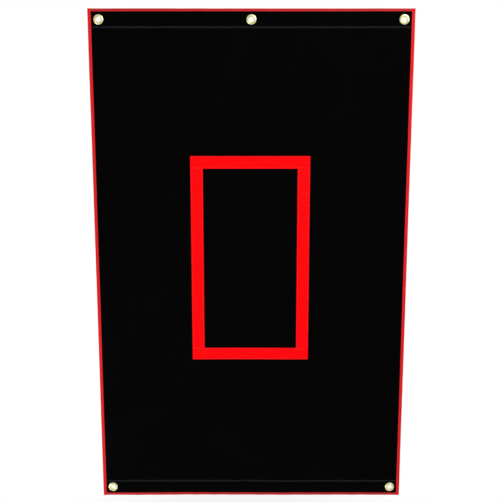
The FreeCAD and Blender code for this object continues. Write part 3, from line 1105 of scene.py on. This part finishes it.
def stitch_tree():
    """A node tree that sets a bent length of thread at each step along a seam."""
    inputs = {"Pitch": 4.2 * MM, "Stitch Length": 3.5 * MM, "Thread Radius": 0.4 * MM, "Rise": 0.35 * MM}
    nodes, start = geometry_tree("lockstitch_rows", {**inputs, "Sink": 0.45 * MM, "Slant": 0.06, "Seed": 1})
    seam = nodes.add("GeometryNodeMeshToCurve", {"Mesh": start["Geometry"]})[0]
    steps = nodes.add("GeometryNodeResampleCurve", {"Curve": seam, "Length": start["Pitch"]}, mode="LENGTH")

    below = nodes.times(start["Sink"], -1.0)
    bow = nodes.plus(nodes.times(start["Rise"], 2.0), start["Sink"])
    bent = {
        "Resolution": 5,
        "Start": nodes.vector(x=nodes.times(start["Stitch Length"], -0.5), z=below),
        "Middle": nodes.vector(z=bow),
        "End": nodes.vector(x=nodes.times(start["Stitch Length"], 0.5), z=below),
    }
    line = nodes.add("GeometryNodeCurveQuadraticBezier", bent)[0]
    section = {"Resolution": 6, "Radius": start["Thread Radius"]}
    circle = nodes.add("GeometryNodeCurvePrimitiveCircle", section)[0]
    solid = {"Curve": line, "Profile Curve": circle, "Fill Caps": True}
    stitch = nodes.add("GeometryNodeCurveToMesh", solid)[0]

    def uneven(low, high):
        values = {"Seed": start["Seed"], 2: low, 3: high}
        return nodes.add("FunctionNodeRandomValue", values, data_type="FLOAT")[1]

    outward = nodes.add("GeometryNodeInputNamedAttribute", {"Name": "outward"}, data_type="FLOAT_VECTOR")[0]
    facing = nodes.add(
        "FunctionNodeAxesToRotation",
        {"Primary Axis": outward, "Secondary Axis": nodes.add("GeometryNodeInputTangent")[0]},
        primary_axis="Z",
        secondary_axis="X",
    )[0]
    slant = uneven(nodes.times(start["Slant"], -0.4), start["Slant"])
    turn = nodes.add("FunctionNodeAxisAngleToRotation", {"Axis": (0.0, 0.0, 1.0), "Angle": slant})[0]
    both = {"Rotation": facing, "Rotate By": turn}
    rotation = nodes.add("FunctionNodeRotateRotation", both, rotation_space="LOCAL")[0]
    copies = {"Points": steps[0], "Instance": stitch, "Rotation": rotation, "Scale": uneven(0.95, 1.04)}
    nodes.coloured(nodes.add("GeometryNodeInstanceOnPoints", copies)[0], start["Material"])
    return nodes.tree


def sewn(name, node, finish, along, rows, levels, hardware, tree):
    """A piece of stitching along x or z: rows at places across the panel, seen from the front and the back.

    levels(s) gives the levels of the front and back surfaces at a place along the rows."""
    run_low, run_high = span(node, along)
    run = spaced(run_low + SEAM_MARGIN, run_high - SEAM_MARGIN, SEAM_POINT_SPACING)
    lines = []
    for across in rows:
        fixed = np.full(len(run), across)
        x, z = (run, fixed) if along == "x" else (fixed, run)
        for level in np.array([levels(s) for s in run]).T:
            lines.append(np.stack([x, level + hung.at(x, z), z], axis=-1))
    count = len(run)
    edges = [(line * count + i, line * count + i + 1) for line in range(len(lines)) for i in range(count - 1)]
    mesh = bpy.data.meshes.new("seam_rows")
    mesh.from_pydata(np.concatenate(lines).tolist(), edges, [])
    sides = np.repeat([(0.0, -1.0, 0.0), (0.0, 1.0, 0.0)] * len(rows), count, axis=0)
    write(mesh, "outward", "FLOAT_VECTOR", sides)
    values = {
        "Pitch": hardware.stitch_pitch,
        "Stitch Length": hardware.stitch_length,
        "Thread Radius": THREAD_RADIUS,
        "Seed": hardware.seed,
        "Material": materials[finish],
    }
    return placed(name, through_tree(mesh, tree, values), finish, node)


def make_stitching(hardware, cloth):
    """Every row of stitches on the hems, the edge tape and the target."""
    tree = stitch_tree()
    dip = cloth.seam_dip * THREAD_DEPTH

    def hem_levels(s):
        return sheet_low.y + dip, WEBBING_BACK - dip

    for edge, (across, along) in EDGES.items():
        if edge in ENDS:
            node = f"{edge}_hem_stitching"
            sewn(f"{edge}_hem_thread", node, "hem_thread", along, HEM_ROWS[edge], hem_levels, hardware, tree)

        def tape_surfaces(s):
            front, back = tape_levels(edge, s, NO_RAMP, NO_RAMP)
            return front + dip * TAPE_DIP, back - dip * TAPE_DIP

        node = f"{edge}_binding_stitching"
        middle = [sum(span(node, across)) / 2]
        sewn(f"{edge}_tape_thread", node, "red_thread", along, middle, tape_surfaces, hardware, tree)
    for edge, (across, along) in EDGES.items():
        strip_front = span(f"target_strip_{edge}", "y")[0]

        def strip_levels(s):
            return strip_front + dip, sheet_high.y

        node = f"target_stitching_{edge}"
        rows = row_pair(node, across)
        sewn(f"target_{edge}_thread", node, "red_thread", along, rows, strip_levels, hardware, tree)


# ---- Stage


def make_world():
    """A white surround that the panel's front sees dimly, so that black cloth stays black."""
    world = bpy.data.worlds.new("studio")
    bpy.context.scene.world = world
    world.use_nodes = True
    nodes = Nodes(world.node_tree)
    white = (1.0, 1.0, 1.0, 1.0)
    direction = nodes.add("ShaderNodeTexCoord")["Generated"]
    forward = nodes.add("ShaderNodeSeparateXYZ", {0: direction})["Y"]
    strength = nodes.ranged(forward, -0.6, 0.6, 0.65, 0.40)
    lit = nodes.add("ShaderNodeBackground", {"Color": white, "Strength": strength})[0]
    seen = nodes.add("ShaderNodeBackground", {"Color": white, "Strength": 1.0})[0]
    is_camera = nodes.add("ShaderNodeLightPath")["Is Camera Ray"]
    both = nodes.add("ShaderNodeMixShader", {0: is_camera, 1: lit, 2: seen})[0]
    nodes.join(both, world.node_tree.nodes["World Output"].inputs[0])


def make_stage(stage):
    """Camera, soft lights, white surround and a pale floor under the hanging panel."""
    scene = bpy.context.scene
    scene.view_settings.view_transform = "Standard"
    low, high = cad_box
    camera = linked("camera", bpy.data.cameras.new("camera"))
    camera.data.lens = stage.lens
    camera.data.sensor_width = stage.sensor
    camera.location = (stage.aside, -stage.distance, high.z - stage.below_top)
    camera.rotation_euler = (math.pi / 2 - stage.tilt, 0.0, 0.0)
    scene.camera = camera

    for name, (offset, width, height, share) in LIGHTS.items():
        light = linked(name, bpy.data.lights.new(name, "AREA"))
        light.data.shape = "RECTANGLE"
        light.data.size = width
        light.data.size_y = height
        light.data.energy = stage.key * share
        light.location = (low + high) / 2 + Vector(offset)
        light.rotation_euler = (-Vector(offset)).to_track_quat("-Z", "Y").to_euler()
    make_world()

    rim = round_points((0.0, 0.0), stage.floor_radius, 0, 360 - 360 / FLOOR_SIDES, FLOOR_SIDES)
    mesh = bpy.data.meshes.new("floor")
    mesh.from_pydata([(x, y, 0.0) for x, y in rim], [], [tuple(range(len(rim)))])
    mesh.materials.append(floor_material(stage.floor_radius))
    floor = linked("floor", mesh)
    floor.location.z = low.z - stage.floor_drop


# ---- Operators and panel


class BACKSTOP_OT_stage(bpy.types.Operator):
    """Set up the camera, the lights and the floor"""

    bl_idname = "backstop.stage"
    bl_label = "Stage"

    def execute(self, context):
        make_stage(context.scene.backstop_stage)
        return {"FINISHED"}


class BACKSTOP_OT_hang(bpy.types.Operator):
    """Hang the cloth from its grommets and mix the materials"""

    bl_idname = "backstop.hang"
    bl_label = "Hang the cloth"

    def execute(self, context):
        hang_cloth(context.scene.backstop_cloth)
        make_materials(context.scene)
        return {"FINISHED"}


class BACKSTOP_OT_grommets(bpy.types.Operator):
    """Set the brass grommets and their washers"""

    bl_idname = "backstop.grommets"
    bl_label = "Grommets"

    def execute(self, context):
        make_grommets(context.scene.backstop_hardware)
        return {"FINISHED"}


class BACKSTOP_OT_webbing(bpy.types.Operator):
    """Make the ribbed webbing behind the two hems"""

    bl_idname = "backstop.webbing"
    bl_label = "Hem webbing"

    def execute(self, context):
        make_webbing(context.scene.backstop_cloth)
        return {"FINISHED"}


class BACKSTOP_OT_bindings(bpy.types.Operator):
    """Fold the red tape over the four edges"""

    bl_idname = "backstop.bindings"
    bl_label = "Edge binding"

    def execute(self, context):
        make_bindings(context.scene.backstop_tape, context.scene.backstop_cloth)
        return {"FINISHED"}


class BACKSTOP_OT_target(bpy.types.Operator):
    """Lay the four red strips of the target frame"""

    bl_idname = "backstop.target"
    bl_label = "Target frame"

    def execute(self, context):
        make_target(context.scene.backstop_tape, context.scene.backstop_cloth)
        return {"FINISHED"}


class BACKSTOP_OT_stitching(bpy.types.Operator):
    """Sew every seam"""

    bl_idname = "backstop.stitching"
    bl_label = "Stitching"

    def execute(self, context):
        make_stitching(context.scene.backstop_hardware, context.scene.backstop_cloth)
        return {"FINISHED"}


class BACKSTOP_OT_sheet(bpy.types.Operator):
    """Make the black coated-cloth sheet, which carries every piece that is sewn on"""

    bl_idname = "backstop.sheet"
    bl_label = "Black sheet"

    def execute(self, context):
        piece = make_sheet(context.scene.backstop_cloth)
        return {"FINISHED"}


OPERATORS = (
    BACKSTOP_OT_stage,
    BACKSTOP_OT_hang,
    BACKSTOP_OT_grommets,
    BACKSTOP_OT_webbing,
    BACKSTOP_OT_bindings,
    BACKSTOP_OT_target,
    BACKSTOP_OT_stitching,
    BACKSTOP_OT_sheet,
)


class BACKSTOP_PT_panel(bpy.types.Panel):
    """The panel's pieces and their sizes"""

    bl_idname = "BACKSTOP_PT_panel"
    bl_label = "Backstop panel"
    bl_space_type = "VIEW_3D"
    bl_region_type = "UI"
    bl_category = "Backstop"

    def draw(self, context):
        for operator in OPERATORS:
            self.layout.operator(operator.bl_idname)
        for name, group in GROUPS.items():
            box = self.layout.box()
            for key in group.__annotations__:
                box.prop(getattr(context.scene, name), key)


def register():
    for name, group in GROUPS.items():
        bpy.utils.register_class(group)
        setattr(bpy.types.Scene, name, PointerProperty(type=group))
    for kind in (*OPERATORS, BACKSTOP_PT_panel):
        bpy.utils.register_class(kind)


def unregister():
    for kind in (BACKSTOP_PT_panel, *reversed(OPERATORS)):
        bpy.utils.unregister_class(kind)
    for name, group in GROUPS.items():
        delattr(bpy.types.Scene, name)
        bpy.utils.unregister_class(group)


def main():
    register()
    for operator in OPERATORS:
        family, step = operator.bl_idname.split(".")
        getattr(getattr(bpy.ops, family), step)()


if __name__ == "__main__":
    main()
